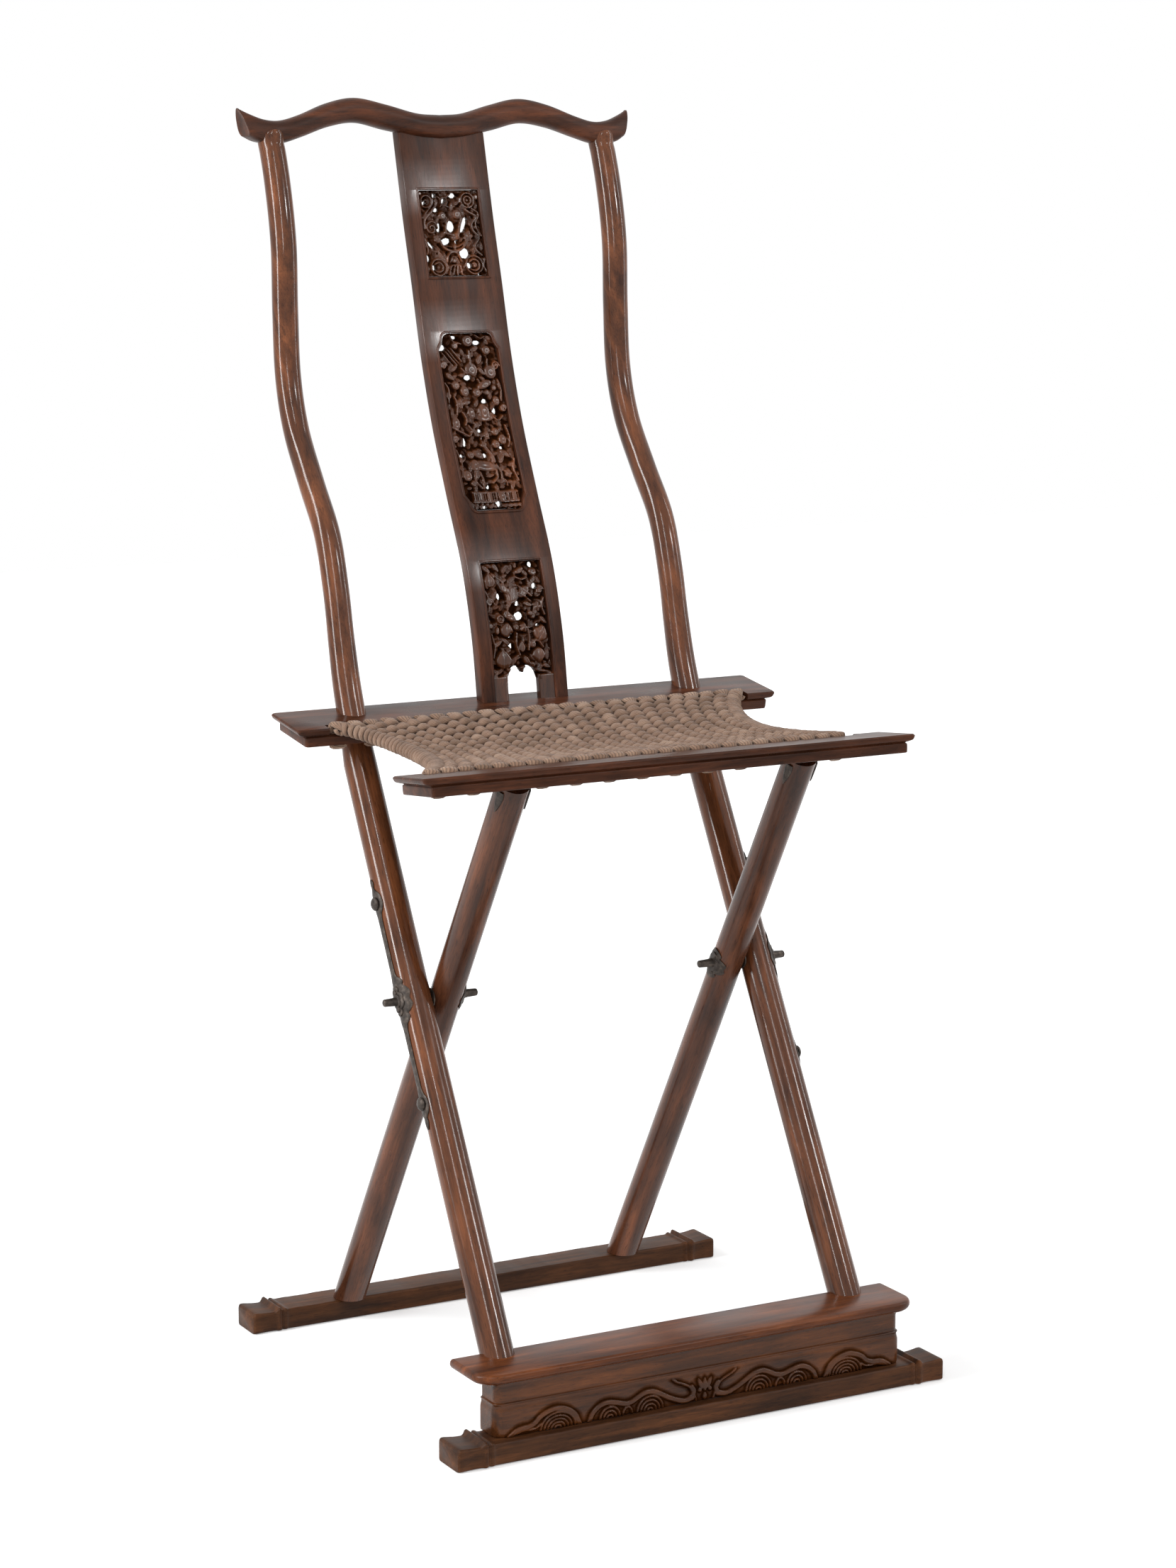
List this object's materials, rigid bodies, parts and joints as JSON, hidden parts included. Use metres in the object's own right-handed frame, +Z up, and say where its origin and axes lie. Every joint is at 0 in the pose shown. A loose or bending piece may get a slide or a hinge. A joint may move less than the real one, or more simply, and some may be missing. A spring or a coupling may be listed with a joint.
{
  "type": "folding yoke-back chair",
  "caption": "Armless folding chair with crossed round legs on iron pivot pins, woven rope seat, carved splat, curved yoke crest rail and low footrest.",
  "frame": {"origin": "on the floor, under the middle of the chair's width and depth", "axes": "+Z up, the sitter faces -Y, +X towards the sitter's left hand, X = 0 is the plane of symmetry"},
  "size_m": [0.493, 0.522, 1.1226],
  "materials": {
    "dark_wood": "polished dark reddish-brown hardwood with black streaks",
    "worn_wood": "the same hardwood, lighter and rubbed where feet rest",
    "ironwork": "dark patinated iron with worn bright edges",
    "seat_rope": "woven twisted fibre rope"
  },
  "bodies": {
    "back_frame": {"crest_rail": "dark_wood", "left_front_leg": "dark_wood", "right_front_leg": "dark_wood", "splat": "dark_wood", "upper_carved_panel": "dark_wood", "middle_carved_panel": "dark_wood", "lower_carved_panel": "dark_wood", "rear_seat_rail": "dark_wood", "front_runner": "worn_wood", "footrest_board": "worn_wood", "footrest_apron": "worn_wood", "left_footrest_end": "worn_wood", "right_footrest_end": "worn_wood", "left_pivot_pin": "ironwork", "right_pivot_pin": "ironwork", "left_outer_strap": "ironwork", "right_outer_strap": "ironwork", "left_outer_rosette": "ironwork", "right_outer_rosette": "ironwork", "left_upper_nail": "ironwork", "right_upper_nail": "ironwork", "left_lower_nail": "ironwork", "right_lower_nail": "ironwork", "rope_seat": "seat_rope"},
    "seat_frame": {"left_rear_leg": "dark_wood", "right_rear_leg": "dark_wood", "front_seat_rail": "dark_wood", "rear_runner": "dark_wood", "left_pivot_washer": "ironwork", "right_pivot_washer": "ironwork", "left_inner_cloud_plate": "ironwork", "right_inner_cloud_plate": "ironwork", "left_outer_leaf": "ironwork", "right_outer_leaf": "ironwork", "left_inner_leaf": "ironwork", "right_inner_leaf": "ironwork"}
  },
  "joints": [
    {"name": "fold", "type": "hinge", "parent": "back_frame", "child": "seat_frame", "pos_m": [0, -0.04465, 0.3491], "axis": [-1, 0, 0], "range_deg": [0, 42], "deforming": ["rope_seat"]}
  ]
}
